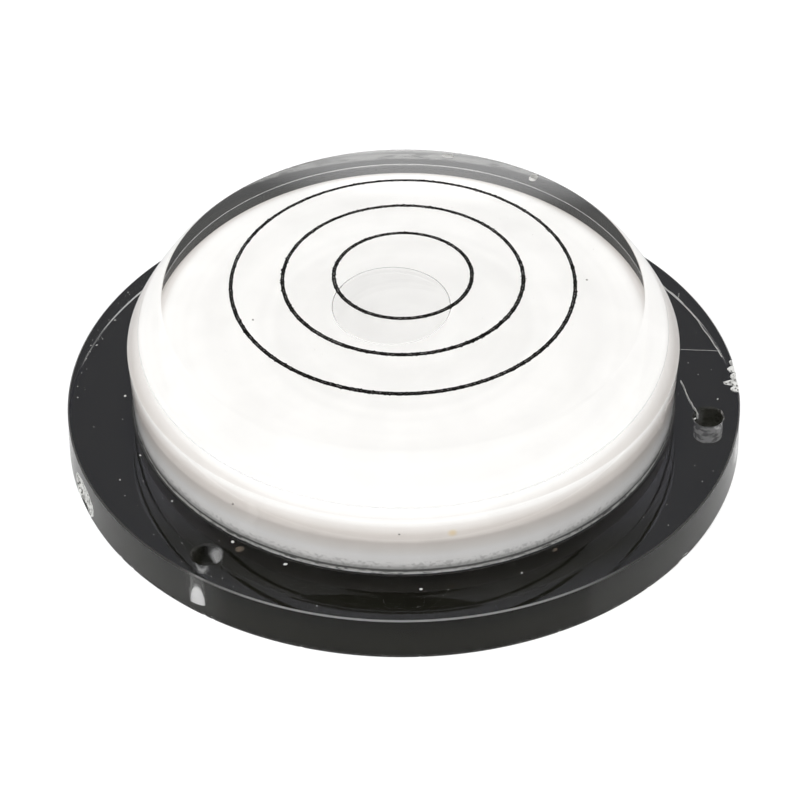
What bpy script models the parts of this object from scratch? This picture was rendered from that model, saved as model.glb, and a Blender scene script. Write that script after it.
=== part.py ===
"""A large flange-mounted bullseye level, as it would come apart on a bench.

A clear acrylic body, turned in one piece, holds the liquid under its dome and
carries a flange with three screw holes. A white reflector disc closes the
bore from below, a black base disc covers it, and a black film backs the
flange. Three painted lines fill grooves turned into the dome.

Metres, +Z up. The origin is the centre of the underside, which the level
stands on, and every turned piece has the Z axis as its own axis.
"""

import math

import bmesh
import bpy

# Height of the surface that the level stands on
UNDERSIDE = 0.0

# Driving dimensions of the clear body
BORE_RADIUS = 0.0430
WALL_THICKNESS = 0.0051
WALL_LEAN = 0.0008
WALL_HEIGHT = 0.0128
WALL_FOOT_BLEND = 0.0005
FLANGE_WIDTH = 0.0119
FLANGE_THICKNESS = 0.0085
FLANGE_EDGE_BREAK = 0.0003
SHOULDER_WIDTH = 0.0065
SHOULDER_HEIGHT = 0.0103
SHOULDER_FOOT_BLEND = 0.0010
SHOULDER_RIM_BLEND = 0.0014
DOME_SPHERE_RADIUS = 0.195
CEILING_THICKNESS = 0.0109
CEILING_SPHERE_RADIUS = 0.190
CEILING_CORNER_RADIUS = 0.0010

# Screw holes, as they were drilled: evenly spaced to within two degrees
HOLE_RADIUS = 0.0026
HOLE_EDGE_BREAK = 0.0003
HOLE_RIM_DISTANCE = 0.0055
HOLE_AZIMUTHS = (-6.8, 112.2, -128.7)

# Lines on the dome
INNER_LINE_RADIUS = 0.0121
MIDDLE_LINE_RADIUS = 0.0211
OUTER_LINE_RADIUS = 0.0302
LINE_WIDTH = 0.00075
LINE_DEPTH = 0.0004

# What closes the bore, from the underside up
BACKING_THICKNESS = 0.0004
BASE_DISC_THICKNESS = 0.0073
BASE_DISC_EDGE_BREAK = 0.0004
REFLECTOR_THICKNESS = 0.0096
REFLECTOR_RIM_RADIUS = 0.0038
FILL_HOLE_RADIUS = 0.0025
FILL_HOLE_RIM_DISTANCE = 0.0075
FILL_HOLE_AZIMUTH = 118.0
FILL_PLUG_CHAMFER = 0.0005
FILL_PLUG_RECESS = 0.0002

# The air bubble in the liquid, where it stands in the photographed level
BUBBLE_RADIUS = 0.0108
BUBBLE_DEPTH = 0.0032
BUBBLE_CENTRE = (-0.0023, -0.0036)

# Chips broken out of the flange's edge: azimuth in degrees, height of the
# chip's middle, half its length along the edge, its depth and half its height
LEFT_CHIP = (-160.0, UNDERSIDE, 0.0047, 0.0011, 0.0036)
FRONT_CHIP = (-36.0, UNDERSIDE, 0.0020, 0.0007, 0.0011)
RIGHT_CHIP = (4.5, FLANGE_THICKNESS, 0.0036, 0.0018, 0.0013)

# Clearances and fineness
FIT_GAP = 0.0001
PAINT_GAP = 0.00005
LIQUID_GAP = 0.0001
CUTTER_REACH = 0.002
SEGMENTS = 72
HOLE_SEGMENTS = 24
SMOOTH_ANGLE = math.radians(25)

# Heights and radii that follow from them
WALL_FOOT_RADIUS = BORE_RADIUS + WALL_THICKNESS
WALL_TOP_RADIUS = WALL_FOOT_RADIUS + WALL_LEAN
WALL_TOP_HEIGHT = FLANGE_THICKNESS + WALL_HEIGHT
FLANGE_RADIUS = WALL_FOOT_RADIUS + FLANGE_WIDTH
HOLE_CIRCLE_RADIUS = FLANGE_RADIUS - HOLE_RIM_DISTANCE
DOME_EDGE_RADIUS = WALL_TOP_RADIUS - SHOULDER_WIDTH
DOME_EDGE_HEIGHT = WALL_TOP_HEIGHT + SHOULDER_HEIGHT
REFLECTOR_BOTTOM = BASE_DISC_THICKNESS
REFLECTOR_TOP = REFLECTOR_BOTTOM + REFLECTOR_THICKNESS
DISC_RADIUS = BORE_RADIUS - FIT_GAP


def sagitta(sphere_radius, radius):
    """How far a sphere has dropped from its top at this radius."""
    return sphere_radius - math.sqrt(sphere_radius**2 - radius**2)


DOME_TOP = DOME_EDGE_HEIGHT + sagitta(DOME_SPHERE_RADIUS, DOME_EDGE_RADIUS)
CEILING_TOP = DOME_TOP - CEILING_THICKNESS


def dome_height(radius):
    return DOME_TOP - sagitta(DOME_SPHERE_RADIUS, radius)


def ceiling_height(radius):
    return CEILING_TOP - sagitta(CEILING_SPHERE_RADIUS, radius)


def clear_scene():
    for thing in list(bpy.data.objects):
        bpy.data.objects.remove(thing)


def finish(name, colour, roughness, transmission=0.0, ior=1.5):
    """A Principled material of one colour."""
    material = bpy.data.materials.new(name)
    material.use_nodes = True
    shader = material.node_tree.nodes["Principled BSDF"]
    shader.inputs["Base Color"].default_value = (*colour, 1.0)
    shader.inputs["Roughness"].default_value = roughness
    shader.inputs["Metallic"].default_value = 0.0
    shader.inputs["Transmission Weight"].default_value = transmission
    shader.inputs["IOR"].default_value = ior
    return material


def link(name, mesh, material=None):
    thing = bpy.data.objects.new(name, mesh)
    bpy.context.scene.collection.objects.link(thing)
    if material:
        mesh.materials.append(material)
    return thing


def turned_mesh(name, profile, segments):
    """The closed profile of (radius, height) points, spun once round the Z axis."""
    shape = bmesh.new()
    points = [shape.verts.new((radius, 0.0, height)) for radius, height in profile]
    ends = zip(points, points[1:] + points[:1])
    edges = [shape.edges.new(pair) for pair in ends if any(v.co.x > 0.0 for v in pair)]
    bmesh.ops.spin(
        shape,
        geom=points + edges,
        cent=(0.0, 0.0, 0.0),
        axis=(0.0, 0.0, 1.0),
        angle=2.0 * math.pi,
        steps=segments,
        use_merge=True,
    )
    bmesh.ops.remove_doubles(shape, verts=shape.verts, dist=1e-7)
    bmesh.ops.recalc_face_normals(shape, faces=shape.faces)
    mesh = bpy.data.meshes.new(name)
    shape.to_mesh(mesh)
    shape.free()
    mesh.shade_smooth()
    mesh.set_sharp_from_angle(angle=SMOOTH_ANGLE)
    return mesh


def turned(name, profile, material):
    return link(name, turned_mesh(name, profile, SEGMENTS), material)


def as_cutter(thing):
    thing.hide_render = True
    thing.display_type = "WIRE"
    return thing


def cut(thing, cutters):
    for cutter in cutters:
        boolean = thing.modifiers.new(cutter.name, "BOOLEAN")
        boolean.operation = "DIFFERENCE"
        boolean.solver = "EXACT"
        boolean.object = cutter


def on_circle(radius, azimuth):
    angle = math.radians(azimuth)
    return radius * math.cos(angle), radius * math.sin(angle)


def quarter_arc(centre_radius, centre_height, arc_radius, steps):
    """Points of a rounded outer corner, from its top round to its side."""
    turns = [0.5 * math.pi * step / steps for step in range(steps + 1)]
    return [
        (centre_radius + arc_radius * math.sin(turn), centre_height + arc_radius * math.cos(turn))
        for turn in turns
    ]


def wall_foot_points(steps):
    """The small hollow blend that the turning tool left between the flange's top and the wall."""
    blend = WALL_FOOT_BLEND
    foot = WALL_FOOT_RADIUS + blend * WALL_LEAN / WALL_HEIGHT
    turns = [0.5 * math.pi * step / steps for step in range(steps + 1)]
    return [
        (foot + blend * (1 - math.sin(turn)), FLANGE_THICKNESS + blend * (1 - math.cos(turn)))
        for turn in turns
    ]


def shoulder_points(steps):
    """The shoulder from the top of the wall to the rim of the dome.

    It leaves the wall upright and meets the dome along the dome's own slope, with a nearly
    straight cone between the two blends: a cubic curve with a short handle at each end.
    """
    slope = math.asin(DOME_EDGE_RADIUS / DOME_SPHERE_RADIUS)
    start = (WALL_TOP_RADIUS, WALL_TOP_HEIGHT)
    leave = (WALL_TOP_RADIUS, WALL_TOP_HEIGHT + SHOULDER_FOOT_BLEND)
    arrive = (
        DOME_EDGE_RADIUS + SHOULDER_RIM_BLEND * math.cos(slope),
        DOME_EDGE_HEIGHT - SHOULDER_RIM_BLEND * math.sin(slope),
    )
    end = (DOME_EDGE_RADIUS, DOME_EDGE_HEIGHT)
    points = []
    for step in range(steps + 1):
        t = step / steps
        weights = ((1 - t) ** 3, 3 * t * (1 - t) ** 2, 3 * t**2 * (1 - t), t**3)
        handles = (start, leave, arrive, end)
        radius = sum(weight * handle[0] for weight, handle in zip(weights, handles))
        height = sum(weight * handle[1] for weight, handle in zip(weights, handles))
        points.append((radius, height))
    return points


def groove_points(line_radius):
    """A square groove in the dome, from its outer edge to its inner edge."""
    outer = line_radius + LINE_WIDTH / 2
    inner = line_radius - LINE_WIDTH / 2
    return [
        (outer, dome_height(outer)),
        (outer, dome_height(outer) - LINE_DEPTH),
        (inner, dome_height(inner) - LINE_DEPTH),
        (inner, dome_height(inner)),
    ]


def dome_points():
    """The top of the dome from its rim to the axis, with the three grooves in it."""
    points = []
    last = DOME_EDGE_RADIUS
    for line_radius in sorted((INNER_LINE_RADIUS, MIDDLE_LINE_RADIUS, OUTER_LINE_RADIUS), reverse=True):
        between = (last + line_radius) / 2
        points.append((between, dome_height(between)))
        points.extend(groove_points(line_radius))
        last = line_radius
    points.append((last / 2, dome_height(last / 2)))
    points.append((0.0, DOME_TOP))
    return points


def ceiling_points(gap, steps):
    """The hollow's ceiling from the axis to its corner, drawn in by a gap all over."""
    corner = CEILING_CORNER_RADIUS
    reach = BORE_RADIUS - corner
    radii = [reach * step / steps for step in range(steps)]
    points = [(radius, ceiling_height(radius) - gap) for radius in radii]
    points.extend(quarter_arc(reach, ceiling_height(reach) - corner, corner - gap, 3))
    return points


def body_profile():
    """The clear body: the flange's edge, wall, shoulder and dome, then the hollow down to the bore."""
    flange_side = [
        (FLANGE_RADIUS - FLANGE_EDGE_BREAK, BACKING_THICKNESS),
        (FLANGE_RADIUS, BACKING_THICKNESS + FLANGE_EDGE_BREAK),
        (FLANGE_RADIUS, FLANGE_THICKNESS - FLANGE_EDGE_BREAK),
        (FLANGE_RADIUS - FLANGE_EDGE_BREAK, FLANGE_THICKNESS),
    ]
    bore_mouth = [(BORE_RADIUS, BACKING_THICKNESS)]
    outside = flange_side + wall_foot_points(3) + shoulder_points(8) + dome_points()
    return outside + ceiling_points(0.0, 4) + bore_mouth


def hole_cutters(radius, top):
    """A drill for each screw hole, flared at the top to break the hole's edge."""
    profile = [
        (0.0, UNDERSIDE - CUTTER_REACH),
        (radius, UNDERSIDE - CUTTER_REACH),
        (radius, top - HOLE_EDGE_BREAK),
        (radius + HOLE_EDGE_BREAK + CUTTER_REACH, top + CUTTER_REACH),
        (0.0, top + CUTTER_REACH),
    ]
    mesh = turned_mesh("drill", profile, HOLE_SEGMENTS)
    drills = []
    for azimuth in HOLE_AZIMUTHS:
        drill = as_cutter(link("drill", mesh))
        x, y = on_circle(HOLE_CIRCLE_RADIUS, azimuth)
        drill.location = (x, y, 0.0)
        drills.append(drill)
    return drills


def ellipsoid(name, half_sizes, rings):
    shape = bmesh.new()
    bmesh.ops.create_uvsphere(shape, u_segments=2 * rings, v_segments=rings, radius=1.0)
    bmesh.ops.scale(shape, vec=half_sizes, verts=shape.verts)
    mesh = bpy.data.meshes.new(name)
    shape.to_mesh(mesh)
    shape.free()
    return as_cutter(link(name, mesh))


def chip_cutters():
    """A shallow scoop for each chip, its long side along the flange's edge."""
    scoops = []
    for azimuth, height, half_length, depth, half_height in (LEFT_CHIP, FRONT_CHIP, RIGHT_CHIP):
        scoop = ellipsoid("scoop", (depth, half_length, half_height), 10)
        x, y = on_circle(FLANGE_RADIUS, azimuth)
        scoop.location = (x, y, height)
        scoop.rotation_euler = (0.0, 0.0, math.radians(azimuth))
        scoops.append(scoop)
    return scoops


def make_body(acrylic, chips):
    body = turned("body", body_profile(), acrylic)
    cut(body, hole_cutters(HOLE_RADIUS, FLANGE_THICKNESS) + chips)


def make_backing(film, chips):
    """The black film on the flange's underside, pierced for the screws."""
    inner = BORE_RADIUS
    outer = FLANGE_RADIUS - FLANGE_EDGE_BREAK
    profile = [
        (inner, UNDERSIDE),
        (outer, UNDERSIDE),
        (outer, BACKING_THICKNESS),
        (inner, BACKING_THICKNESS),
    ]
    backing = turned("backing_film", profile, film)
    cut(backing, hole_cutters(HOLE_RADIUS, BACKING_THICKNESS + CUTTER_REACH) + chips)


def make_base_disc(acrylic):
    """The black disc that closes the bore, flush with the film and resting on the bench."""
    edge = DISC_RADIUS - BASE_DISC_EDGE_BREAK
    profile = [
        (0.0, UNDERSIDE),
        (edge, UNDERSIDE),
        (DISC_RADIUS, UNDERSIDE + BASE_DISC_EDGE_BREAK),
        (DISC_RADIUS, BASE_DISC_THICKNESS),
        (0.0, BASE_DISC_THICKNESS),
    ]
    turned("base_disc", profile, acrylic)


def fill_hole_place():
    return on_circle(DISC_RADIUS - FILL_HOLE_RIM_DISTANCE, FILL_HOLE_AZIMUTH)


def make_reflector(acrylic):
    """The white disc under the liquid, with a rounded rim and the hole that the level is filled through."""
    rim = REFLECTOR_RIM_RADIUS
    profile = [(0.0, REFLECTOR_TOP)]
    profile += quarter_arc(DISC_RADIUS - rim, REFLECTOR_TOP - rim, rim, 5)
    profile += [(DISC_RADIUS, REFLECTOR_BOTTOM), (0.0, REFLECTOR_BOTTOM)]
    reflector = turned("reflector_disc", profile, acrylic)
    reach = [
        (0.0, REFLECTOR_BOTTOM - CUTTER_REACH),
        (FILL_HOLE_RADIUS, REFLECTOR_BOTTOM - CUTTER_REACH),
        (FILL_HOLE_RADIUS, REFLECTOR_TOP + CUTTER_REACH),
        (0.0, REFLECTOR_TOP + CUTTER_REACH),
    ]
    drill = as_cutter(link("fill_drill", turned_mesh("fill_drill", reach, HOLE_SEGMENTS)))
    x, y = fill_hole_place()
    drill.location = (x, y, 0.0)
    cut(reflector, [drill])


def make_fill_plug(plastic):
    """The plug in the filling hole, driven in from below until its foot is flush."""
    radius = FILL_HOLE_RADIUS - FIT_GAP
    top = REFLECTOR_TOP - FILL_PLUG_RECESS
    profile = [
        (0.0, REFLECTOR_BOTTOM),
        (radius, REFLECTOR_BOTTOM),
        (radius, top - FILL_PLUG_CHAMFER),
        (radius - FILL_PLUG_CHAMFER, top),
        (0.0, top),
    ]
    plug = link("fill_plug", turned_mesh("fill_plug", profile, HOLE_SEGMENTS), plastic)
    x, y = fill_hole_place()
    plug.location = (x, y, 0.0)


def make_liquid(spirit):
    """The liquid between the reflector and the ceiling, hollowed where the air bubble floats."""
    gap = LIQUID_GAP
    outer = BORE_RADIUS - gap
    rim = REFLECTOR_RIM_RADIUS
    rounded = quarter_arc(DISC_RADIUS - rim, REFLECTOR_TOP - rim, rim + gap, 5)
    floor = [point for point in rounded if point[0] < outer - gap]
    profile = ceiling_points(gap, 4)
    profile += [(outer, floor[-1][1])]
    profile += reversed(floor)
    profile += [(0.0, REFLECTOR_TOP + gap)]
    liquid = turned("liquid", profile, spirit)
    bubble = ellipsoid("bubble", (BUBBLE_RADIUS, BUBBLE_RADIUS, BUBBLE_DEPTH), 14)
    x, y = BUBBLE_CENTRE
    bubble.location = (x, y, ceiling_height(math.hypot(x, y)) - gap)
    cut(liquid, [bubble])


def make_line(name, line_radius, paint):
    """Paint that fills one groove, flush with the dome."""
    outer = line_radius + LINE_WIDTH / 2 - PAINT_GAP
    inner = line_radius - LINE_WIDTH / 2 + PAINT_GAP
    depth = LINE_DEPTH - PAINT_GAP
    profile = [
        (outer, dome_height(outer)),
        (outer, dome_height(outer) - depth),
        (inner, dome_height(inner) - depth),
        (inner, dome_height(inner)),
    ]
    turned(name, profile, paint)


clear_scene()
clear_acrylic = finish("clear_acrylic", (0.95, 0.96, 0.96), 0.03, transmission=1.0, ior=1.49)
black_film = finish("black_film", (0.012, 0.012, 0.011), 0.45)
black_acrylic = finish("black_acrylic", (0.015, 0.015, 0.015), 0.3)
white_acrylic = finish("white_acrylic", (0.88, 0.87, 0.85), 0.35)
white_plastic = finish("white_plastic", (0.85, 0.84, 0.82), 0.5)
level_spirit = finish("level_spirit", (0.98, 0.99, 0.98), 0.0, transmission=1.0, ior=1.43)
line_paint = finish("line_paint", (0.02, 0.018, 0.016), 0.55)

edge_chips = chip_cutters()
make_body(clear_acrylic, edge_chips)
make_backing(black_film, edge_chips)
make_base_disc(black_acrylic)
make_reflector(white_acrylic)
make_fill_plug(white_plastic)
make_liquid(level_spirit)
make_line("inner_line", INNER_LINE_RADIUS, line_paint)
make_line("middle_line", MIDDLE_LINE_RADIUS, line_paint)
make_line("outer_line", OUTER_LINE_RADIUS, line_paint)
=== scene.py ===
import math
import random

import bmesh
import bpy
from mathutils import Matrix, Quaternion, Vector


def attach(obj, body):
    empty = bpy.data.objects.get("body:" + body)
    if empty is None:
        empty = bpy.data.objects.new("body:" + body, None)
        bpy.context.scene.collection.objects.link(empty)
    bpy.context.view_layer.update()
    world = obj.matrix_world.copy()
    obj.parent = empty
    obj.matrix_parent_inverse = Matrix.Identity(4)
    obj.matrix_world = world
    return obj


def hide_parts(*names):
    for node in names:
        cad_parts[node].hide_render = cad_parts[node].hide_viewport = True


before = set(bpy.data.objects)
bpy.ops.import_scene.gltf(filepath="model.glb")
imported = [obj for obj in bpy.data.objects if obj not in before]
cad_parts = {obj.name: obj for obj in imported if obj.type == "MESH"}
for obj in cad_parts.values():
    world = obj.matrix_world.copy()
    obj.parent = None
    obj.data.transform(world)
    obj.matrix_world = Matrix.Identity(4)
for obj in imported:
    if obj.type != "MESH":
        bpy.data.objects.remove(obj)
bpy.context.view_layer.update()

# The viewpoint: the level stands on a white sheet and is seen from the front and from 40 degrees
# above it, through a long lens held a little out of level.
EYE = Vector((0.0, -0.682058, 0.571554))
AIM = Vector((-0.00067, 0.0, 0.00749))
CAMERA_LEAN = math.radians(-0.453)
LENS = 222.76
FILM_WIDTH = 36.0
bpy.ops.object.camera_add(location=EYE)
camera = bpy.context.object
camera.name = "camera"
camera.data.lens = LENS
camera.data.sensor_width = FILM_WIDTH
camera.rotation_mode = "QUATERNION"
looking = (AIM - EYE).to_track_quat("-Z", "Y")
camera.rotation_quaternion = looking @ Quaternion((0.0, 0.0, 1.0), CAMERA_LEAN)
bpy.context.scene.camera = camera
bpy.context.scene.view_settings.view_transform = "Standard"

# The studio: a white sheet on the table that shines a little to the camera so that it stays white,
# soft daylight from all round and from behind the viewer, a bright backdrop far behind the level,
# and one wide lamp overhead that is hidden from reflections.
FLOOR_SIZE = 6.0
FLOOR_WHITE = (0.68, 0.68, 0.68)
FLOOR_ROUGHNESS = 0.8
FLOOR_GLOSS = 0.1
FLOOR_LIFT = 0.36
HORIZON_STRENGTH = 0.90
ZENITH_STRENGTH = 0.42
HORIZON_SINE = (0.50, 0.64)
LAMP_SIZE = 0.9
LAMP_PLACE = Vector((-0.15, -0.25, 1.3))
LAMP_POWER = 9.6
BACKDROP_WAY = Vector((0.045, 1.0, 0.235)).normalized()
BACKDROP_REACH = (math.radians(4.0), math.radians(12.3))
BACKDROP_STRENGTH = 1.75
WINDOW_WAY = Vector((-0.1, -1.0, 0.22)).normalized()
WINDOW_REACH = (math.radians(15.0), math.radians(65.0))
WINDOW_STRENGTH = 0.80


def feed(tree, socket, value):
    """Gives a socket a number, a vector, a colour or another node's output."""
    if isinstance(value, bpy.types.NodeSocket):
        tree.links.new(value, socket)
    elif socket.type == "RGBA":
        socket.default_value = (*value, 1.0)
    else:
        socket.default_value = value


def calculate(tree, operation, *values):
    """One step of arithmetic on numbers or other nodes' outputs."""
    node = tree.nodes.new("ShaderNodeMath")
    node.operation = operation
    for socket, value in zip(node.inputs, values):
        feed(tree, socket, value)
    return node.outputs["Value"]


def fade(tree, value, start, end, low=0.0, high=1.0):
    """A smooth change from low to high as the value goes from start to end."""
    node = tree.nodes.new("ShaderNodeMapRange")
    node.interpolation_type = "SMOOTHSTEP"
    feed(tree, node.inputs["Value"], value)
    node.inputs["From Min"].default_value = start
    node.inputs["From Max"].default_value = end
    node.inputs["To Min"].default_value = low
    node.inputs["To Max"].default_value = high
    return node.outputs["Result"]


def along(tree, place, axis):
    """One coordinate of a place or direction: X, Y or Z."""
    split = tree.nodes.new("ShaderNodeSeparateXYZ")
    tree.links.new(place, split.inputs["Vector"])
    return split.outputs[axis]


def lobe(tree, direction, way, reach, strength):
    """Light from one part of the sky: full within the inner angle of its reach, gone at the outer."""
    toward = tree.nodes.new("ShaderNodeVectorMath")
    toward.operation = "DOT_PRODUCT"
    tree.links.new(direction, toward.inputs[0])
    toward.inputs[1].default_value = way
    return fade(tree, toward.outputs["Value"], math.cos(reach[1]), math.cos(reach[0]), 0.0, strength)


def new_material(name):
    """A material with its node tree, and that tree's Principled shader."""
    material = bpy.data.materials.new(name)
    material.use_nodes = True
    return material, material.node_tree, material.node_tree.nodes["Principled BSDF"]


bpy.ops.object.select_all(action="DESELECT")
bpy.ops.mesh.primitive_plane_add(size=FLOOR_SIZE, location=(0.0, 0.0, 0.0))
floor = bpy.context.object
floor.name = "floor"
white_sheet, tree, shader = new_material("white_sheet")
shader.inputs["Base Color"].default_value = (*FLOOR_WHITE, 1.0)
shader.inputs["Roughness"].default_value = FLOOR_ROUGHNESS
shader.inputs["Specular IOR Level"].default_value = FLOOR_GLOSS
path = tree.nodes.new("ShaderNodeLightPath")
lift = tree.nodes.new("ShaderNodeEmission")
lift.inputs["Strength"].default_value = FLOOR_LIFT
both = tree.nodes.new("ShaderNodeAddShader")
seen = tree.nodes.new("ShaderNodeMixShader")
tree.links.new(shader.outputs["BSDF"], both.inputs[0])
tree.links.new(lift.outputs["Emission"], both.inputs[1])
tree.links.new(path.outputs["Is Camera Ray"], seen.inputs["Fac"])
tree.links.new(shader.outputs["BSDF"], seen.inputs[1])
tree.links.new(both.outputs["Shader"], seen.inputs[2])
tree.links.new(seen.outputs["Shader"], tree.nodes["Material Output"].inputs["Surface"])
floor.data.materials.append(white_sheet)

world = bpy.data.worlds.new("studio")
bpy.context.scene.world = world
world.use_nodes = True
sky = world.node_tree
daylight = sky.nodes["Background"]
daylight.inputs["Color"].default_value = (1.0, 1.0, 1.0, 1.0)
way = sky.nodes.new("ShaderNodeTexCoord").outputs["Generated"]
all_round = fade(sky, along(sky, way, "Z"), *HORIZON_SINE, HORIZON_STRENGTH, ZENITH_STRENGTH)
backdrop = lobe(sky, way, BACKDROP_WAY, BACKDROP_REACH, BACKDROP_STRENGTH)
window = lobe(sky, way, WINDOW_WAY, WINDOW_REACH, WINDOW_STRENGTH)
total = calculate(sky, "ADD", calculate(sky, "ADD", all_round, backdrop), window)
sky.links.new(total, daylight.inputs["Strength"])
white = sky.nodes.new("ShaderNodeBackground")
white.inputs["Strength"].default_value = 1.0
path = sky.nodes.new("ShaderNodeLightPath")
pick = sky.nodes.new("ShaderNodeMixShader")
sky.links.new(path.outputs["Is Camera Ray"], pick.inputs["Fac"])
sky.links.new(daylight.outputs["Background"], pick.inputs[1])
sky.links.new(white.outputs["Background"], pick.inputs[2])
sky.links.new(pick.outputs["Shader"], sky.nodes["World Output"].inputs["Surface"])

bpy.ops.object.light_add(type="AREA", location=LAMP_PLACE)
lamp = bpy.context.object
lamp.name = "overhead_lamp"
lamp.data.shape = "DISK"
lamp.data.size = LAMP_SIZE
lamp.data.energy = LAMP_POWER
lamp.rotation_mode = "QUATERNION"
lamp.rotation_quaternion = (-LAMP_PLACE).to_track_quat("-Z", "Y")
lamp.visible_glossy = False
lamp.visible_transmission = False

# The clear body: one thick piece of acrylic, turned and polished. Flange, wall, shoulder and shallow
# dome are one surface, and underneath a bore ends in the domed ceiling of the hollow. Three screw
# holes are drilled through the flange. Its edge is chipped in three places and nicked at the bottom.
BORE_RADIUS = 0.0430
WALL_FOOT_RADIUS = 0.0481
WALL_FOOT_BLEND = 0.0005
WALL_TOP = (0.0489, 0.0213)
FLANGE_RADIUS = 0.0600
FLANGE_THICKNESS = 0.0085
FLANGE_EDGE_BREAK = 0.00025
SHOULDER_ALONG_WALL = 0.0010
SHOULDER_ALONG_DOME = 0.0014
DOME_EDGE = (0.0424, 0.0316)
DOME_SPHERE_RADIUS = 0.195
CEILING_SPHERE_RADIUS = 0.190
CEILING_THICKNESS = 0.0109
CEILING_CORNER_RADIUS = 0.0010
LINE_RADII = (0.0121, 0.0211, 0.0302)
LINE_WIDTH = 0.00056
LINE_DEPTH = 0.00018
BACKING_THICKNESS = 0.0004
CONTACT = 0.00005
HOLE_RADIUS = 0.0026
HOLE_EDGE_BREAK = 0.0003
HOLE_CIRCLE_RADIUS = 0.0545
HOLE_AZIMUTHS = (-6.8, 112.2, -128.7)
DRILL_OVERSHOOT = 0.002

# How strongly acrylic and spirit bend light, and into how many steps circles and curves are divided
ACRYLIC_IOR = 1.49
SPIRIT_IOR = 1.43
TURNS = 256
HOLE_TURNS = 64
FOOT_STEPS = 6
SHOULDER_STEPS = 16
CEILING_STEPS = 8
SMOOTH_ANGLE = math.radians(25)

# Chips: azimuth in degrees, height of the middle, depth, half the length and half the height. The
# one on the right is a row of small breaks.
CHIPS = (
    (-160.4, 0.0030, 0.0009, 0.0054, 0.0030),
    (-36.0, 0.0, 0.0004, 0.0020, 0.0011),
    (8.3, FLANGE_THICKNESS, 0.0008, 0.0009, 0.0008),
    (6.6, FLANGE_THICKNESS, 0.0015, 0.0010, 0.0010),
    (4.6, FLANGE_THICKNESS, 0.0012, 0.0011, 0.0013),
    (3.0, FLANGE_THICKNESS, 0.0027, 0.0010, 0.0009),
    (1.2, FLANGE_THICKNESS, 0.0017, 0.0009, 0.0010),
)
CHIP_ROUGHNESS = 0.07
LARGE_CHIP = 0.001

# Small nicks along the lower edge: azimuth in degrees and half the length
NICKS = (
    (-146.0, 0.0008),
    (-142.5, 0.0007),
    (-125.4, 0.0009),
    (-123.6, 0.0006),
    (-107.3, 0.0007),
    (-87.6, 0.0004),
    (-63.8, 0.0005),
    (-45.2, 0.0006),
    (-20.5, 0.0005),
)
NICK_MIDDLE = 0.0002
NICK_DEPTH = 0.0004
NICK_HALF_HEIGHT = 0.0005


def sagitta(sphere_radius, radius):
    """How far a sphere has dropped from its top at this radius."""
    return sphere_radius - math.sqrt(sphere_radius**2 - radius**2)


DOME_TOP = DOME_EDGE[1] + sagitta(DOME_SPHERE_RADIUS, DOME_EDGE[0])
CEILING_TOP = DOME_TOP - CEILING_THICKNESS


def dome_height(radius):
    return DOME_TOP - sagitta(DOME_SPHERE_RADIUS, radius)


def ceiling_height(radius):
    return CEILING_TOP - sagitta(CEILING_SPHERE_RADIUS, radius)


def on_circle(radius, azimuth, height):
    angle = math.radians(azimuth)
    return Vector((radius * math.cos(angle), radius * math.sin(angle), height))


def quarter_arc(centre_radius, centre_height, arc_radius, steps):
    """Points of a rounded outer corner, from its top round to its side."""
    turns = [0.5 * math.pi * step / steps for step in range(steps + 1)]
    return [
        (centre_radius + arc_radius * math.sin(turn), centre_height + arc_radius * math.cos(turn))
        for turn in turns
    ]


def flange_points():
    """The flange from the mouth of the bore round its edge to the small blend at the wall's foot."""
    points = [
        (BORE_RADIUS - CONTACT, BACKING_THICKNESS),
        (FLANGE_RADIUS - FLANGE_EDGE_BREAK, BACKING_THICKNESS),
        (FLANGE_RADIUS, BACKING_THICKNESS + FLANGE_EDGE_BREAK),
        (FLANGE_RADIUS, FLANGE_THICKNESS - FLANGE_EDGE_BREAK),
        (FLANGE_RADIUS - FLANGE_EDGE_BREAK, FLANGE_THICKNESS),
    ]
    for step in range(FOOT_STEPS + 1):
        turn = 0.5 * math.pi * step / FOOT_STEPS
        radius = WALL_FOOT_RADIUS + WALL_FOOT_BLEND * (1.0 - math.sin(turn))
        points.append((radius, FLANGE_THICKNESS + WALL_FOOT_BLEND * (1.0 - math.cos(turn))))
    return points


def shoulder_points():
    """The shoulder: upright where it leaves the wall, and on the dome's slope where it meets the dome."""
    slope = math.asin(DOME_EDGE[0] / DOME_SPHERE_RADIUS)
    leave = (WALL_TOP[0], WALL_TOP[1] + SHOULDER_ALONG_WALL)
    arrive = (
        DOME_EDGE[0] + SHOULDER_ALONG_DOME * math.cos(slope),
        DOME_EDGE[1] - SHOULDER_ALONG_DOME * math.sin(slope),
    )
    handles = (WALL_TOP, leave, arrive, DOME_EDGE)
    points = []
    for step in range(SHOULDER_STEPS + 1):
        t = step / SHOULDER_STEPS
        weights = ((1 - t) ** 3, 3 * t * (1 - t) ** 2, 3 * t**2 * (1 - t), t**3)
        radius = sum(weight * handle[0] for weight, handle in zip(weights, handles))
        height = sum(weight * handle[1] for weight, handle in zip(weights, handles))
        points.append((radius, height))
    return points


def dome_points():
    """The dome from its rim to the axis, with a square groove for each line."""
    points = []
    last = DOME_EDGE[0]
    for line_radius in sorted(LINE_RADII, reverse=True):
        outer = line_radius + LINE_WIDTH / 2
        inner = line_radius - LINE_WIDTH / 2
        for share in (0.33, 0.66):
            between = last + share * (outer - last)
            points.append((between, dome_height(between)))
        points.append((outer, dome_height(outer)))
        points.append((outer, dome_height(outer) - LINE_DEPTH))
        points.append((inner, dome_height(inner) - LINE_DEPTH))
        points.append((inner, dome_height(inner)))
        last = inner
    points.append((last / 2, dome_height(last / 2)))
    points.append((0.0, DOME_TOP))
    return points


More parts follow.
